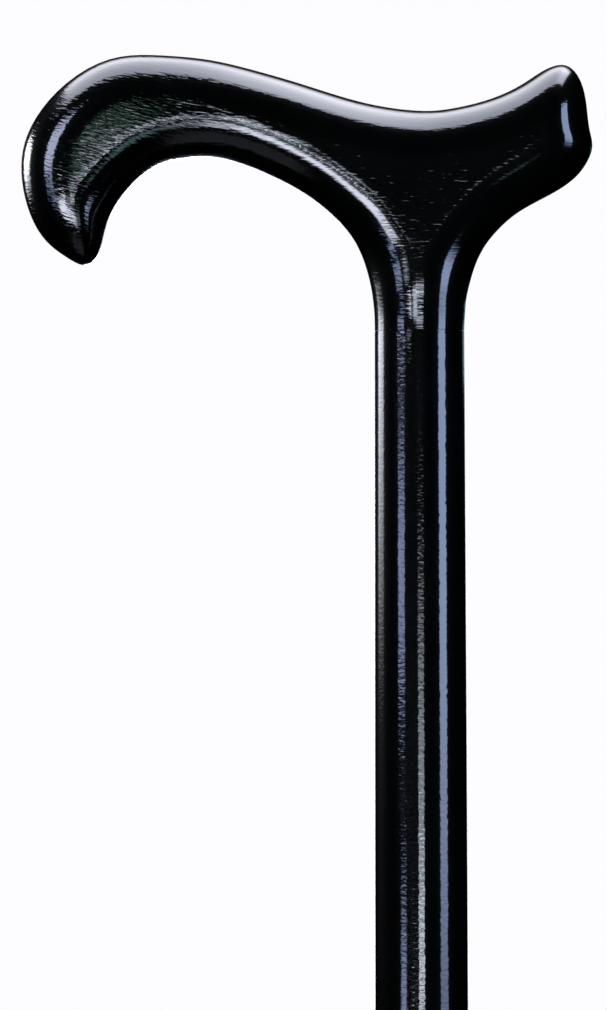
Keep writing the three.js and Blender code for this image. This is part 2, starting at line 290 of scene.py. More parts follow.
# The mirrored stretch of table: places left of the cane, or toward the camera, over which it
# lights up or fades out. Past the bend its near and far edge run askew.
STRETCH_SHINE = 20
STRETCH_RIGHT_EDGE = (-0.25, 0.45)
STRETCH_LEFT_EDGE = (1.3, 2.1)
STRETCH_NEAR_EDGE = (0.97, 1.35)
STRETCH_FAR_EDGE = (1.5, 2.2)
STRETCH_SHARE_BEYOND = 0.06
STRETCH_BEND = 0.85
NEAR_EDGE_SLOPE = 1.15
FAR_EDGE_SLOPE = 3.4

# The faintly lit patch round the cane's foot, in the same way
PATCH_SHINE = 0.28
PATCH_RIGHT_EDGE = (-0.2, -0.05)
PATCH_LEFT_EDGE = (0.5, 0.7)
PATCH_BACK_EDGE = (-0.1, 0.05)
PATCH_FRONT_EDGE = (0.5, 0.65)


def add_world():
    """White behind the object, and dark where the lacquer would mirror it."""
    world = bpy.data.worlds.new("studio")
    world.use_nodes = True
    tree = world.node_tree
    tree.nodes.clear()
    path = tree.nodes.new("ShaderNodeLightPath")
    white = tree.nodes.new("ShaderNodeBackground")
    white.inputs["Color"].default_value = BACKDROP_COLOUR
    fill = tree.nodes.new("ShaderNodeBackground")
    fill.inputs["Color"].default_value = BACKDROP_COLOUR
    strength = product(tree, path.outputs["Is Diffuse Ray"], FILL_STRENGTH)
    mix = tree.nodes.new("ShaderNodeMixShader")
    out = tree.nodes.new("ShaderNodeOutputWorld")
    link(tree, strength, fill.inputs["Strength"])
    link(tree, path.outputs["Is Camera Ray"], mix.inputs["Fac"])
    link(tree, fill.outputs[0], mix.inputs[1])
    link(tree, white.outputs[0], mix.inputs[2])
    link(tree, mix.outputs[0], out.inputs["Surface"])
    bpy.context.scene.world = world


def table_shine(tree, place):
    """The lit parts of the table in front and to the left, as the lacquer mirrors them, painted as a
    glow on the floor.
    """
    x, y, _ = axes(tree, place)
    left = product(tree, x, -1)
    toward_camera = product(tree, y, -1)
    past_bend = combined(tree, "MAXIMUM", combined(tree, "SUBTRACT", left, STRETCH_BEND), 0)
    from_near = combined(tree, "SUBTRACT", toward_camera, product(tree, past_bend, NEAR_EDGE_SLOPE))
    from_far = combined(tree, "SUBTRACT", toward_camera, product(tree, past_bend, FAR_EDGE_SLOPE))
    stretch = product(
        tree,
        smooth_ramp(tree, from_near, *STRETCH_NEAR_EDGE, 0, 1),
        smooth_ramp(tree, from_far, *STRETCH_FAR_EDGE, 1, STRETCH_SHARE_BEYOND),
        smooth_ramp(tree, left, *STRETCH_RIGHT_EDGE, 0, 1),
        smooth_ramp(tree, left, *STRETCH_LEFT_EDGE, 1, 0),
        STRETCH_SHINE,
    )
    patch = product(
        tree,
        smooth_ramp(tree, left, *PATCH_RIGHT_EDGE, 0, 1),
        smooth_ramp(tree, left, *PATCH_LEFT_EDGE, 1, 0),
        smooth_ramp(tree, toward_camera, *PATCH_BACK_EDGE, 0, 1),
        smooth_ramp(tree, toward_camera, *PATCH_FRONT_EDGE, 1, 0),
        PATCH_SHINE,
    )
    shine = tree.nodes.new("ShaderNodeEmission")
    shine.inputs["Color"].default_value = TABLE_SHINE_COLOUR
    link(tree, combined(tree, "ADD", stretch, patch), shine.inputs["Strength"])
    return shine.outputs[0]


def add_floor():
    """A pale round floor that takes the soft shadow and runs out into the backdrop's white."""
    material = bpy.data.materials.new("floor")
    material.use_nodes = True
    tree = material.node_tree
    tree.nodes.clear()
    place = object_place(tree)
    distance = tree.nodes.new("ShaderNodeVectorMath")
    distance.operation = "LENGTH"
    link(tree, place, distance.inputs[0])
    far = smooth_ramp(tree, distance.outputs["Value"], FLOOR_SHADED_RADIUS, FLOOR_EVEN_RADIUS, 0, 1)
    path = tree.nodes.new("ShaderNodeLightPath")
    matt = tree.nodes.new("ShaderNodeBsdfDiffuse")
    matt.inputs["Color"].default_value = FLOOR_COLOUR
    glow = tree.nodes.new("ShaderNodeEmission")
    glow.inputs["Color"].default_value = BACKDROP_COLOUR
    seen = tree.nodes.new("ShaderNodeMixShader")
    link(tree, product(tree, far, path.outputs["Is Camera Ray"]), seen.inputs["Fac"])
    link(tree, matt.outputs[0], seen.inputs[1])
    link(tree, glow.outputs[0], seen.inputs[2])
    # Mirrored rays see the floor as the painted glow of the lit table instead of its own colour
    mirrored = tree.nodes.new("ShaderNodeMixShader")
    link(tree, path.outputs["Is Glossy Ray"], mirrored.inputs["Fac"])
    link(tree, seen.outputs[0], mirrored.inputs[1])
    link(tree, table_shine(tree, place), mirrored.inputs[2])
    out = tree.nodes.new("ShaderNodeOutputMaterial")
    link(tree, mirrored.outputs[0], out.inputs["Surface"])

    turns = [2 * math.pi * side / FLOOR_SIDES for side in range(FLOOR_SIDES)]
    rim = [(FLOOR_RADIUS * math.cos(turn), FLOOR_RADIUS * math.sin(turn), 0) for turn in turns]
    floor = new_object("floor", rim, [list(range(FLOOR_SIDES))], material)
    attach(floor, "ferrule")


# Lights

# Each is a soft panel that the lacquer mirrors as one of the photographed highlights.
OVERHEAD_TURN = (0, 0, -0.13)
CARD_DISTANCE = 0.2


def even(*colour):
    """The same colour at a panel's lower and upper edge."""
    return colour, colour


VIOLET = ((0.62, 0.68, 1.0), (0.68, 0.72, 1.0))
WHITE_TO_BLUE = ((0.8, 0.87, 1.0), (0.7, 0.8, 1.0))
CYAN_TO_GREEN = ((0.55, 0.9, 1.0), (0.55, 1.0, 0.9))

# Name, distance from the cane, turns of the two sides, heights of the lower and upper edge,
# colours, radiance, and the soft shares at the sides, the lower edge and the upper edge.
# Turns are in degrees round the cane from the camera's side, to the right positive.
upright_panels = [
    ("left_rear", 1.2, (-137, -104), (0.70, 1.30), even(0.86, 0.90, 1.0), 15, (0.25, 0.63, 0.2)),
    ("left_front", 1.2, (-61, -38), (0.89, 1.62), VIOLET, 12.5, (0.08, 0.1, 0.3)),
    ("left_front_middle", 1.2, (-60, -40), (0.71, 0.87), even(0.5, 0.62, 1.0), 8, (0.15, 0.3, 0.5)),
    ("left_front_low", 1.2, (-55, -36), (0.48, 0.63), even(0.5, 0.62, 1.0), 7.5, (0.3, 0.1, 0.35)),
    ("far_front", 3.0, (-8, 7.5), (0.34, 0.79), even(0.78, 0.88, 1.0), 5.3, (0.1, 0, 0.35)),
    ("far_front_low", 2.95, (-8, 7.5), (0.33, 0.50), even(0.8, 0.87, 1.0), 10, (0.1, 0, 0.3)),
    ("far_front_left", 3.0, (-20, -4), (0.10, 0.20), WHITE_TO_BLUE, 15, (0.25, 0.1, 0)),
    ("beside_lens", 0.38, (-19, -10), (0.884, 0.900), even(0.45, 1.0, 0.75), 0.6, (0.3, 0.2, 0.2)),
    ("above_lens", 0.38, (-19, -10), (0.919, 0.940), even(0.45, 1.0, 0.7), 2.2, (0.3, 0.2, 0.2)),
    ("right_front", 1.2, (46.5, 69), (0.35, 1.35), even(0.5, 0.64, 1.0), 9.8, (0.12, 0.45, 0)),
    ("right_rear", 1.2, (145, 168), (0.865, 0.91), even(0.45, 0.85, 1.0), 0.6, (0, 0.3, 0.3)),
    ("behind", 1.6, (172, 188), (0.1, 0.95), even(0.8, 0.86, 1.0), 7, (0.3, 0.2, 0.2)),
    ("low_front", 1.2, (2, 24), (0.05, 0.50), CYAN_TO_GREEN, 2.0, (0.3, 0.1, 0.3)),
]

# Name, the lit place on the neck in millimetres from the middle of the seam, the card's turn
# and drop as seen from there in degrees, its size, colours and radiance, and the half angle of
# its grid in degrees.
neck_cards = [
    ("neck_upper", (-3.5, -11.5, 16.7), -29, 0.5, (0.08, 0.0135), even(0.8, 0.88, 1.0), 9, 9),
    ("neck_lower", (-1.5, -11.7, 5.5), -10, 10, (0.034, 0.05), even(0.8, 0.88, 1.0), 12, 6),
]


def add_panel(name, place, turn, size, colours, radiance, soft=(0, 0, 0)):
    """A rectangular panel whose colour runs from its lower to its upper edge. soft gives the
    shares of its size over which it fades out at its sides, lower edge and upper edge."""
    data = bpy.data.lights.new(name, "AREA")
    data.shape = "RECTANGLE"
    data.size, data.size_y = size
    data.energy = radiance * math.pi * size[0] * size[1]
    data.use_nodes = True
    tree = data.node_tree
    emission = tree.nodes["Emission"]
    x, y, _ = axes(tree, tree.nodes.new("ShaderNodeNewGeometry").outputs["Parametric"])
    link(tree, ramp(tree, y, 0, 1, *colours), emission.inputs["Color"])
    sides, lower, upper = soft
    edges = [(x, 0, sides), (x, 1, -sides), (y, 0, lower), (y, 1, -upper)]
    fades = [smooth_ramp(tree, axis, edge, edge + share, 0, 1) for axis, edge, share in edges if share]
    if fades:
        link(tree, product(tree, *fades), emission.inputs["Strength"])
    panel = bpy.data.objects.new(name, data)
    panel.location = place
    panel.rotation_euler = turn
    panel.visible_camera = False
    bpy.context.scene.collection.objects.link(panel)
    return panel


def add_upright_panel(name, distance, turns, heights, colours, radiance, soft):
    """A panel that stands upright beside the cane and faces it."""
    middle = math.radians(sum(turns) / 2)
    half = math.radians((turns[1] - turns[0]) / 2)
    place = (distance * math.sin(middle), -distance * math.cos(middle), sum(heights) / 2)
    size = (2 * distance * math.tan(half), heights[1] - heights[0])
    add_panel(name, place, (math.pi / 2, 0, middle), size, colours, radiance, soft)


def add_neck_card(name, aim, turn, drop, size, colours, radiance, half_angle):
    """A small card with a grid, close to the neck, so that little else mirrors it."""
    aim = Vector(aim) * MILLIMETRE + Vector((0, 0, SEAM_HEIGHT))
    turn, drop, half_angle = (math.radians(angle) for angle in (turn, drop, half_angle))
    level = Vector((math.sin(turn), -math.cos(turn), 0)) * math.cos(drop)
    place = aim + (level - Vector((0, 0, math.sin(drop)))) * CARD_DISTANCE
    facing = (aim - place).to_track_quat("-Z", "Y").to_euler()
    gain = math.tan(half_angle) / (math.tan(half_angle) - half_angle)
    card = add_panel(name, place, facing, size, colours, radiance / gain)
    card.data.spread = 2 * half_angle


def add_lights():
    add_panel(
        "overhead",
        place=(-0.1, 0.66, 2.1),
        turn=OVERHEAD_TURN,
        size=(2.3, 2.16),
        colours=((0.78, 0.83, 1.0), (0.95, 0.93, 1.0)),
        radiance=6.6,
        soft=(0.1, 0.03, 0.5),
    )
    add_panel(
        "overhead_right",
        place=(0.48, 0.36, 2.05),
        turn=OVERHEAD_TURN,
        size=(1.1, 1.5),
        colours=((0.84, 0.87, 1.0), (0.92, 0.92, 1.0)),
        radiance=3.2,
        soft=(0.45, 0.08, 0.45),
    )
    for panel in upright_panels:
        add_upright_panel(*panel)
    for card in neck_cards:
        add_neck_card(*card)


# Mesh helpers

SHARP_ANGLE = math.radians(40)
WELD_DIGITS = 7


def new_object(name, points, faces, material):
    """A mesh shaded smooth, except where its faces meet sharply."""
    mesh = bpy.data.meshes.new(name)
    mesh.from_pydata([tuple(map(float, point)) for point in points], [], faces)
    mesh.update()
    mesh.polygons.foreach_set("use_smooth", [True] * len(mesh.polygons))
    mesh.set_sharp_from_angle(angle=SHARP_ANGLE)
    mesh.materials.append(material)
    made = bpy.data.objects.new(name, mesh)
    bpy.context.scene.collection.objects.link(made)
    return made


def natural_run(points, samples):
    """A curve through all the points whose bend never jumps: samples places in each span."""
    steps = np.sqrt(np.linalg.norm(np.diff(points[:, :2], axis=0), axis=1))
    count = len(points)
    system = np.eye(count)
    right_side = np.zeros_like(points)
    for i in range(1, count - 1):
        before, after = steps[i - 1], steps[i]
        system[i, i - 1 : i + 2] = before, 2 * (before + after), after
        slope_after = (points[i + 1] - points[i]) / after
        slope_before = (points[i] - points[i - 1]) / before
        right_side[i] = 6 * (slope_after - slope_before)
    bends = np.linalg.solve(system, right_side)
    run = []
    for i in range(count - 1):
        step = steps[i]
        slope = (points[i + 1] - points[i]) / step - step * (2 * bends[i] + bends[i + 1]) / 6
        for sample in range(samples):
            t = step * sample / samples
            third = (bends[i + 1] - bends[i]) / (6 * step)
            run.append(points[i] + slope * t + bends[i] / 2 * t**2 + third * t**3)
    run.append(points[-1])
    return np.array(run)


def turned(profile, sides, offset=None):
    """Points and faces of a body turned round the Z axis. The profile starts and ends on the axis.
    offset gives a change of radius from a profile point's index and a turn."""
    points = [(0.0, 0.0, profile[0][1])]
    rings = []
    for index, (radius, height) in enumerate(profile[1:-1], start=1):
        ring = []
        for side in range(sides):
            turn = 2 * math.pi * side / sides
            reach = radius + (offset(index, turn) if offset else 0)
            ring.append(len(points))
            points.append((reach * math.cos(turn), reach * math.sin(turn), height))
        rings.append(ring)
    last = len(points)
    points.append((0.0, 0.0, profile[-1][1]))
    faces = []
    for side in range(sides):
        following = (side + 1) % sides
        faces.append((0, rings[0][following], rings[0][side]))
        for low, high in zip(rings, rings[1:]):
            faces.append((low[side], low[following], high[following], high[side]))
        faces.append((last, rings[-1][side], rings[-1][following]))
    return points, faces


# Handle

def across(share):
    """A share of the nose's reach or, to the right, of the tail's reach."""
    return share * (NOSE_REACH if share < 0 else TAIL_REACH)


def edge_station(row):
    """A row of the outline in metres: edge, crest line and half thickness."""
    x, z, crest_x, crest_z, thickness = row
    return [across(x), z * CROWN_RISE, across(crest_x), crest_z * CROWN_RISE, thickness * HALF_THICKNESS]


def neck_station(row, side):
    """The same for a row of the neck, on its left or right side."""
    z, crest_z, left, right, crest_half_width, thickness = row
    reach = (left if side < 0 else right) * SEAM_RADIUS
    crest_x = side * crest_half_width * SEAM_RADIUS
    return [side * reach, z * CROWN_RISE, crest_x, crest_z * CROWN_RISE, thickness * SEAM_RADIUS]


def handle_stations():
    """The edge in one run: seam's right side, tail, top, nose, arch, seam's left side."""
    right_neck = [neck_station(row, 1) for row in neck_shares]
    tail = [edge_station(row) for row in tail_edge_shares]
    top = [edge_station(row) for row in reversed(top_edge_shares)]
    arch = [edge_station(row) for row in arch_edge_shares]
    left_neck = [neck_station(row, -1) for row in reversed(neck_shares)]
    return np.array(right_neck + tail + top + arch + left_neck)


def make_handle(material):
    """Rounded over from its edge to the crest lines, with flat flanks between them."""
    run = natural_run(handle_stations(), STATION_SAMPLES)
    last = len(run) - 1
    neck_top = len(neck_shares) * STATION_SAMPLES
    tail_end = neck_top + len(tail_edge_shares) * STATION_SAMPLES
    nose_tip = tail_end + (len(top_edge_shares) - 1) * STATION_SAMPLES
    arch_foot = last - neck_top
    points = []
    faces = []
    known = {}

    def vertex(x, y, z):
        key = tuple(round(value * 10**WELD_DIGITS) for value in (x, y, z))
        if key not in known:
            known[key] = len(points)
            points.append((x, y, z))
        return known[key]

    def face(*corners):
        ring = [corner for i, corner in enumerate(corners) if corner != corners[i - 1]]
        if len(set(ring)) > 2:
            faces.append(ring)

    seam_ring = []
    for side in (-1, 1):
        strip = []
        for edge_x, edge_z, crest_x, crest_z, thickness in run:
            row = []
            for step in range(ROUNDING_STEPS + 1):
                angle = math.pi / 2 * step / ROUNDING_STEPS
                out = math.cos(angle) if step < ROUNDING_STEPS else 0
                x = crest_x + (edge_x - crest_x) * out
                z = crest_z + (edge_z - crest_z) * out
                y = side * thickness * math.sin(angle)
                row.append(vertex(x, y, z + SEAM_HEIGHT))
            strip.append(row)

        def quad(a, b, c, d):
            face(*((a, b, c, d) if side < 0 else (d, c, b, a)))

        for row, following in zip(strip, strip[1:]):
            for step in range(ROUNDING_STEPS):
                quad(row[step], following[step], following[step + 1], row[step + 1])
        crest = [row[-1] for row in strip]
        for i in range(neck_top):
            quad(crest[i], crest[i + 1], crest[last - i - 1], crest[last - i])

        # Ribs run across the flank, from the top's crest line to the tail's or the arch's
        pairs = [(2 * tail_end - under, under) for under in range(tail_end, neck_top - 1, -1)]
        pairs += [(2 * nose_tip - under, under) for under in range(arch_foot, nose_tip - 1, -1)]
        ribs = []
        for top, under in pairs:
            start, end = np.array(points[crest[top]]), np.array(points[crest[under]])
            rib = [crest[top]]
            for step in range(1, CREST_STEPS):
                rib.append(vertex(*(start + (end - start) * step / CREST_STEPS)))
            rib.append(crest[under])
            ribs.append(rib)
        for rib, following in zip(ribs, ribs[1:]):
            for step in range(CREST_STEPS):
                quad(rib[step], following[step], following[step + 1], rib[step + 1])
        arc = strip[0] + strip[-1][::-1]
        seam_ring += arc if side < 0 else arc[::-1]
    soften_nose(points)
    add_seam_socket(points, faces, list(dict.fromkeys(seam_ring)))
    return new_object("lacquered_handle", points, faces, material)


def soften_nose(points):
    """Evens out the nose's two faces round the places where their crest lines run together.
    The square of the depth is fitted by a quadratic over a few millimetres round each point."""
    places = np.array(points)
    middle = np.array([-NOSE_MIDDLE_SHARE * NOSE_REACH, SEAM_HEIGHT + NOSE_RISE_SHARE * CROWN_RISE])
    away = np.linalg.norm(places[:, [0, 2]] - middle, axis=1)
    for side in (-1, 1):
        on_face = side * places[:, 1] > 0
        spots = places[on_face & (away < NOSE_SAMPLED_REACH)]
        spots = np.unique(spots.round(WELD_DIGITS), axis=0)
        depths = spots[:, 1] ** 2
        for index in np.flatnonzero(on_face & (away < NOSE_SOFT_REACH)):
            x, z = (spots[:, [0, 2]] - places[index, [0, 2]]).T / NOSE_SOFTNESS
            nearness = np.exp(-(x**2 + z**2) / 4)
            terms = np.stack([np.ones_like(x), x, z, x * x, x * z, z * z]) * nearness
            fit = np.linalg.lstsq(terms.T, depths * nearness, rcond=None)[0][0]
            share = min(1, 2 - 2 * away[index] / NOSE_SOFT_REACH)
            depth = math.sqrt(max(fit, 0) * share + places[index, 1] ** 2 * (1 - share))
            points[index] = (places[index, 0], side * depth, places[index, 2])


def add_seam_socket(points, faces, ring):
    """The flat end grain under the neck, with the drilled hole for the stud."""
    top = stud_high.z + BORE_END_GAP
    rims = [ring]
    for radius, height in ((None, SEAM_HEIGHT), (BORE_RADIUS, SEAM_HEIGHT), (BORE_RADIUS, top)):
        rim = []
        for index in ring:
            x, y, z = points[index]
            reach = math.hypot(x, y)
            new_reach = radius if radius else reach - SEAM_CHAMFER
            rim.append(len(points))
            points.append((x * new_reach / reach, y * new_reach / reach, height))
        rims.append(rim)
    for index in ring:
        x, y, z = points[index]
        points[index] = (x, y, z + SEAM_CHAMFER)
    tip = len(points)
    points.append((0, 0, top + DRILL_POINT))
    count = len(ring)
    for i in range(count):
        j = (i + 1) % count
        for outer, inner in zip(rims, rims[1:]):
            faces.append((outer[j], outer[i], inner[i], inner[j]))
        faces.append((rims[-1][j], rims[-1][i], tip))


# Shaft

SHAFT_BELLY_RADIUS = 11.6 * MILLIMETRE
SHAFT_BELLY_DROP = 260 * MILLIMETRE
SHAFT_TIP_RADIUS = 9.2 * MILLIMETRE
SHAFT_TIP_CHAMFER = 0.8 * MILLIMETRE
SHAFT_SIDES = 128
SHAFT_RINGS = 200


def shaft_radius(height):
    """Widest at the belly, with a cosine up to the seam and another down to the tip."""
    belly_height = SEAM_HEIGHT - SHAFT_BELLY_DROP
    if height <= foot_high.z:
        return SHAFT_TIP_RADIUS
    if height < belly_height:
        drop = (belly_height - height) / (belly_height - foot_high.z)
        fullness = math.cos(drop * math.pi / 2)
        return SHAFT_TIP_RADIUS + (SHAFT_BELLY_RADIUS - SHAFT_TIP_RADIUS) * fullness
    rise = (height - belly_height) / SHAFT_BELLY_DROP
    fullness = math.cos(rise * math.pi / 2)
    return SEAM_RADIUS + (SHAFT_BELLY_RADIUS - SEAM_RADIUS) * fullness


def make_shaft(material, end_material):
    """Turned body with the bore for the stud at its top and bare end grain at its tip."""
    bottom, top = shaft_low.z, SEAM_HEIGHT - SEAM_GAP
    bore_floor = stud_low.z - BORE_END_GAP
    profile = [(0, bottom), (SHAFT_TIP_RADIUS - SHAFT_TIP_CHAMFER, bottom)]
    profile.append((SHAFT_TIP_RADIUS, bottom + SHAFT_TIP_CHAMFER))
    first = bottom + 2 * SHAFT_TIP_CHAMFER
    last = top - SEAM_CHAMFER
    for step in range(SHAFT_RINGS + 1):
        height = first + (last - first) * step / SHAFT_RINGS
        profile.append((shaft_radius(height), height))
    profile.append((shaft_radius(top) - SEAM_CHAMFER, top))
    profile.append((BORE_RADIUS, top))
    profile.append((BORE_RADIUS, bore_floor))
    profile.append((0, bore_floor - DRILL_POINT))
    points, faces = turned(profile, SHAFT_SIDES)
    shaft = new_object("lacquered_shaft", points, faces, material)
    shaft.data.materials.append(end_material)
    for face in shaft.data.polygons:
        if face.center.z < bottom + SHAFT_TIP_CHAMFER / 2:
            face.material_index = 1
    return shaft


# Rubber foot

FOOT_BASE_EDGE = 4.5 * MILLIMETRE
FOOT_WALL = 3.1 * MILLIMETRE
FOOT_RING_COUNT = 3
FOOT_RING_PROUD = 0.9 * MILLIMETRE
FOOT_RING_WIDTH = 3.2 * MILLIMETRE
FOOT_MOUTH_CHAMFER = 0.9 * MILLIMETRE
TREAD_DEPTH = 1.6 * MILLIMETRE
TREAD_GROOVE_WIDTH = 1.8 * MILLIMETRE
tread_groove_shares = [0.42, 0.74]
SKIRT_SPREAD_SHARE = 0.5
SKIRT_RISE_SHARE = 0.6
MOULD_ROUND = 0.4 * MILLIMETRE
MOULD_LINE = 0.12 * MILLIMETRE
FOOT_SIDES = 192
SKIRT_STEPS = 24
FILLET_STEPS = 5
WASHER_GAP = 0.3 * MILLIMETRE


def rounded(corners):
    """A profile whose corners, each a radius, a height and a fillet size, are rounded off."""
    profile = [corners[0][:2]]
    for before, corner, after in zip(corners, corners[1:], corners[2:]):
        here = np.array(corner[:2])
        size = corner[2]
        if not size:
            profile.append(corner[:2])
            continue
        ends = [np.array(other[:2]) - here for other in (before, after)]
        start, end = [here + way / np.linalg.norm(way) * size for way in ends]
        for step in range(FILLET_STEPS + 1):
            t = step / FILLET_STEPS
            profile.append(tuple((1 - t) ** 2 * start + 2 * t * (1 - t) * here + t**2 * end))
    profile.append(corners[-1][:2])
    return profile


def foot_skirt(collar_radius, skirt_top):
    """The flare from the base's edge up to the collar, as a cubic curve."""
    base_radius = foot_high.x
    spread = base_radius + (collar_radius - base_radius) * SKIRT_SPREAD_SHARE
    rise = FOOT_BASE_EDGE + (skirt_top - FOOT_BASE_EDGE) * SKIRT_RISE_SHARE
    hold = np.array(
        [
            (base_radius, FOOT_BASE_EDGE),
            (spread, FOOT_BASE_EDGE),
            (collar_radius, rise),
            (collar_radius, skirt_top),
        ]
    )
    for step in range(1, SKIRT_STEPS + 1):
        t = step / SKIRT_STEPS
        shares = np.array([(1 - t) ** 3, 3 * t * (1 - t) ** 2, 3 * t**2 * (1 - t), t**3])
        yield (*(shares @ hold), 0)


def make_foot(material):
    """Grooved tread, flared skirt, three raised rings and the socket for the shaft's tip."""
    base_radius = foot_high.x
    mouth = foot_high.z
    socket_floor = washer_low.z - WASHER_GAP
    socket_radius = washer_high.x + WASHER_GAP
    collar_radius = socket_radius + FOOT_WALL
    skirt_top = washer_high.z - WASHER_GAP
    corners = [(0, 0)]
    for share in tread_groove_shares:
        inner = share * base_radius - TREAD_GROOVE_WIDTH / 2
        outer = inner + TREAD_GROOVE_WIDTH
        corners.append((inner, 0, MOULD_ROUND))
        corners.append((inner, TREAD_DEPTH, MOULD_ROUND))
        corners.append((outer, TREAD_DEPTH, MOULD_ROUND))
        corners.append((outer, 0, MOULD_ROUND))
    corners.append((base_radius, 0, 4 * MOULD_ROUND))
    corners.append((base_radius, FOOT_BASE_EDGE, 2 * MOULD_ROUND))

    # The mould line runs up the outside, from the rim of the outer groove to the mouth
    outside_from = len(rounded(corners)) - FILLET_STEPS - 3
    corners += foot_skirt(collar_radius, skirt_top)
    spacing = (mouth - skirt_top) / FOOT_RING_COUNT
    proud_radius = collar_radius + FOOT_RING_PROUD
    for ring in range(FOOT_RING_COUNT):
        end = skirt_top + (ring + 1) * spacing
        start = end - FOOT_RING_WIDTH
        corners.append((collar_radius, start - FOOT_RING_PROUD, MOULD_ROUND))
        corners.append((proud_radius, start, MOULD_ROUND))
        corners.append((proud_radius, end - FOOT_RING_PROUD, MOULD_ROUND))
        corners.append((collar_radius, end, MOULD_ROUND))
    outside_to = len(rounded(corners)) - 2
    corners.append((socket_radius + FOOT_MOUTH_CHAMFER, mouth, MOULD_ROUND))
    corners.append((socket_radius, mouth - FOOT_MOUTH_CHAMFER, MOULD_ROUND))
    corners.append((socket_radius, socket_floor, 0))
    corners.append((0, socket_floor))

    def mould_line(index, turn):
        parting = abs(math.sin(turn)) < math.sin(math.pi / FOOT_SIDES)
        return MOULD_LINE if parting and outside_from <= index < outside_to else 0

    points, faces = turned(rounded(corners), FOOT_SIDES, mould_line)
    return new_object("moulded_foot", points, faces, material)


# Materials

LACQUER_DARK = (0.0002, 0.0003, 0.0003)
LACQUER_LIGHT = (0.0006, 0.0008, 0.0007)
LACQUER_ROUGHNESS = 0.3
LACQUER_SPECULAR = 0.03
LACQUER_IOR = 1.5
COAT_ROUGHNESS = 0.025
CLOUD_SCALE = (90, 90, 90)
NOISE_SPREAD = (0.3, 0.7)

# Relief of the handle, with its wave in millimetres: full on the nose and the flanks, and
# fainter toward the neck and where the crown rounds over.
GRAIN_SCALE = (300, 400, 1700)
GRAIN_DIP = 1.5
GRAIN_WAVE = 0.043
FAINT_GRAIN_SHARE = 0.38
ROUNDING_GRAIN_SHARE = 0.4
NOSE_GRAIN_FADE = (-62 * MILLIMETRE, -30 * MILLIMETRE)
FLANK_DEPTHS = (8.5 * MILLIMETRE, 11 * MILLIMETRE)
CROWN_HEIGHTS = (SEAM_HEIGHT + 53.5 * MILLIMETRE, SEAM_HEIGHT + 59.5 * MILLIMETRE)

# Relief of the shaft, with its waves and nibs in millimetres
RING_SCALE = (450, 450, 2000)
RING_TILT = (0.2, 0.1, 0)
RING_WAVE = 0.006
DIMPLE_SCALE = (900, 900, 1000)
DIMPLE_WAVE = 0.012
NIBS_PER_METRE = 160
NIB_SHARE = 0.035
NIB_HEIGHT = 0.03

END_GRAIN_DARK = (0.13, 0.07, 0.035)
END_GRAIN_LIGHT = (0.32, 0.19, 0.1)
END_GRAIN_SPREAD = (0.2, 0.8)
END_GRAIN_ROUGHNESS = 0.75
GROWTH_RINGS_PER_METRE = 180
GROWTH_RING_WANDER = 1.5
GROWTH_RING_DETAIL_SCALE = 1.5
GROWTH_RING_SHARE = 0.6
PITH_OFFSET = (0.006, 0.004, 0)
PORE_SCALE = (2500, 2500, 300)
PORE_DEPTH = 0.06 * MILLIMETRE

RUBBER_DARK = (0.008, 0.008, 0.008)
RUBBER_LIGHT = (0.014, 0.014, 0.013)
RUBBER_ROUGHNESS = 0.6
RUBBER_SPECKLE_SCALE = (900, 900, 900)
RUBBER_SPECKLE_DEPTH = 0.03 * MILLIMETRE

ZINC_DARK = (0.42, 0.43, 0.44)
ZINC_LIGHT = (0.62, 0.63, 0.64)
ZINC_ROUGHNESS = (0.28, 0.45)
ZINC_SPANGLE_SCALE = (700, 700, 700)


def lacquer(name, relief):
    """Black lacquer over wood, with relief giving the height of its surface in millimetres."""
    material, tree, shader = principled(name)
    place = object_place(tree)
    clouds = noise(tree, place, CLOUD_SCALE)
    shade = ramp(tree, clouds, *NOISE_SPREAD, LACQUER_DARK, LACQUER_LIGHT)
    link(tree, shade, shader.inputs["Base Color"])
    shader.inputs["Roughness"].default_value = LACQUER_ROUGHNESS
    shader.inputs["IOR"].default_value = LACQUER_IOR
    shader.inputs["Specular IOR Level"].default_value = LACQUER_SPECULAR
    shader.inputs["Coat Weight"].default_value = 1.0
    shader.inputs["Coat Roughness"].default_value = COAT_ROUGHNESS
    shader.inputs["Coat IOR"].default_value = LACQUER_IOR
    surface = bump(tree, relief(tree, place), MILLIMETRE)
    link(tree, surface, shader.inputs["Normal"])
    link(tree, surface, shader.inputs["Coat Normal"])
    return material


def pored_grain(tree, place):
    """Wavy pores along the handle that dip toward the nose, deep there and faint by the shaft."""
    x, y, z = axes(tree, place)
    along = tree.nodes.new("ShaderNodeCombineXYZ")
    link(tree, x, along.inputs[0])
    link(tree, y, along.inputs[1])
    link(tree, combined(tree, "SUBTRACT", z, product(tree, x, x, GRAIN_DIP)), along.inputs[2])
    grain = noise(tree, along.outputs[0], GRAIN_SCALE, detail=1.5, distortion=0.5)
    wave = scalar_ramp(tree, grain, 0, 1, -GRAIN_WAVE, GRAIN_WAVE)
    toward_nose = smooth_ramp(tree, x, *NOSE_GRAIN_FADE, 1, FAINT_GRAIN_SHARE)
    depth = combined(tree, "ABSOLUTE", y, 0)
    on_flank = smooth_ramp(tree, depth, *FLANK_DEPTHS, ROUNDING_GRAIN_SHARE, 1)
    below_crown = smooth_ramp(tree, z, *CROWN_HEIGHTS, 1, ROUNDING_GRAIN_SHARE)
    return product(tree, wave, toward_nose, combined(tree, "MAXIMUM", on_flank, below_crown))


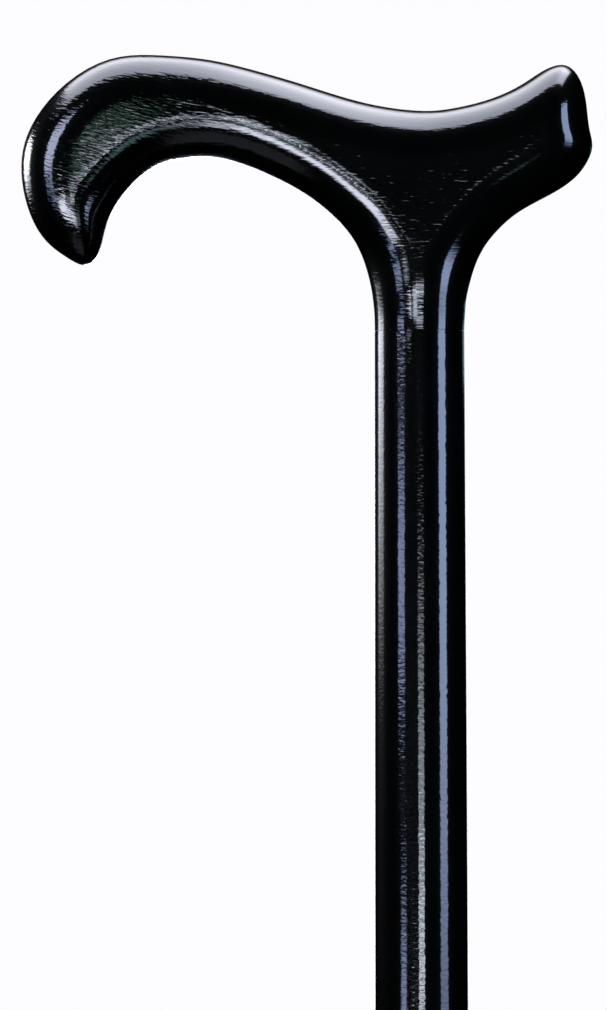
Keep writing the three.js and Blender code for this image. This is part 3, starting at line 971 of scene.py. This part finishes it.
def lathe_rings(tree, place):
    """Fine uneven rings from turning, slightly askew, with shallow dimples and nibs of dust."""
    rings = noise(tree, place, RING_SCALE, turn=RING_TILT, detail=2.0, distortion=0.5)
    dimples = noise(tree, place, DIMPLE_SCALE, detail=1.0)
    ring_height = scalar_ramp(tree, rings, 0, 1, -RING_WAVE, RING_WAVE)
    dimple_height = scalar_ramp(tree, dimples, 0, 1, -DIMPLE_WAVE, DIMPLE_WAVE)
    cells = tree.nodes.new("ShaderNodeTexVoronoi")
    cells.inputs["Scale"].default_value = NIBS_PER_METRE
    link(tree, place, cells.inputs["Vector"])
    nibs = smooth_ramp(tree, cells.outputs["Distance"], 0, NIB_SHARE, NIB_HEIGHT, 0)
    return combined(tree, "ADD", combined(tree, "ADD", ring_height, dimple_height), nibs)


def end_grain(name):
    """Bare sawn wood with growth rings, where the lacquer stops at the shaft's tip."""
    material, tree, shader = principled(name)
    place = object_place(tree)
    from_pith = tree.nodes.new("ShaderNodeMapping")
    from_pith.inputs["Location"].default_value = PITH_OFFSET
    link(tree, place, from_pith.inputs["Vector"])
    rings = tree.nodes.new("ShaderNodeTexWave")
    rings.wave_type = "RINGS"
    rings.rings_direction = "Z"
    rings.inputs["Scale"].default_value = GROWTH_RINGS_PER_METRE
    rings.inputs["Distortion"].default_value = GROWTH_RING_WANDER
    rings.inputs["Detail Scale"].default_value = GROWTH_RING_DETAIL_SCALE
    link(tree, from_pith.outputs["Vector"], rings.inputs["Vector"])
    pores = noise(tree, place, PORE_SCALE)
    ring_tone = product(tree, rings.outputs["Fac"], GROWTH_RING_SHARE)
    pore_tone = product(tree, pores, 1 - GROWTH_RING_SHARE)
    tone = combined(tree, "ADD", ring_tone, pore_tone)
    shade = ramp(tree, tone, *END_GRAIN_SPREAD, END_GRAIN_DARK, END_GRAIN_LIGHT)
    link(tree, shade, shader.inputs["Base Color"])
    shader.inputs["Roughness"].default_value = END_GRAIN_ROUGHNESS
    link(tree, bump(tree, pores, PORE_DEPTH), shader.inputs["Normal"])
    return material


def rubber(name):
    material, tree, shader = principled(name)
    speckle = noise(tree, object_place(tree), RUBBER_SPECKLE_SCALE, detail=4.0)
    shade = ramp(tree, speckle, *NOISE_SPREAD, RUBBER_DARK, RUBBER_LIGHT)
    link(tree, shade, shader.inputs["Base Color"])
    shader.inputs["Roughness"].default_value = RUBBER_ROUGHNESS
    link(tree, bump(tree, speckle, RUBBER_SPECKLE_DEPTH), shader.inputs["Normal"])
    return material


def zinc(name):
    material, tree, shader = principled(name)
    spangle = noise(tree, object_place(tree), ZINC_SPANGLE_SCALE)
    shade = ramp(tree, spangle, *NOISE_SPREAD, ZINC_DARK, ZINC_LIGHT)
    link(tree, shade, shader.inputs["Base Color"])
    shader.inputs["Metallic"].default_value = 1.0
    dull = scalar_ramp(tree, spangle, *NOISE_SPREAD, *ZINC_ROUGHNESS)
    link(tree, dull, shader.inputs["Roughness"])
    return material


# Pieces

def repaint(node, material):
    """Gives a carried-over CAD node a finished material."""
    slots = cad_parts[node].data.materials
    slots.clear()
    slots.append(material)


def finish_piece(piece, body, node):
    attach(piece, body)
    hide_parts(node)


add_camera()
add_world()
add_floor()
add_lights()

handle_wood = lacquer("lacquered_handle_wood", pored_grain)
shaft_wood = lacquer("lacquered_shaft_wood", lathe_rings)
zinc_steel = zinc("zinc_steel")
repaint("joint_stud", zinc_steel)
repaint("ferrule_washer", zinc_steel)

finish_piece(make_handle(handle_wood), "cane", "handle")
finish_piece(make_shaft(shaft_wood, end_grain("bare_end_grain")), "cane", "shaft")
finish_piece(make_foot(rubber("black_rubber")), "ferrule", "rubber_ferrule")
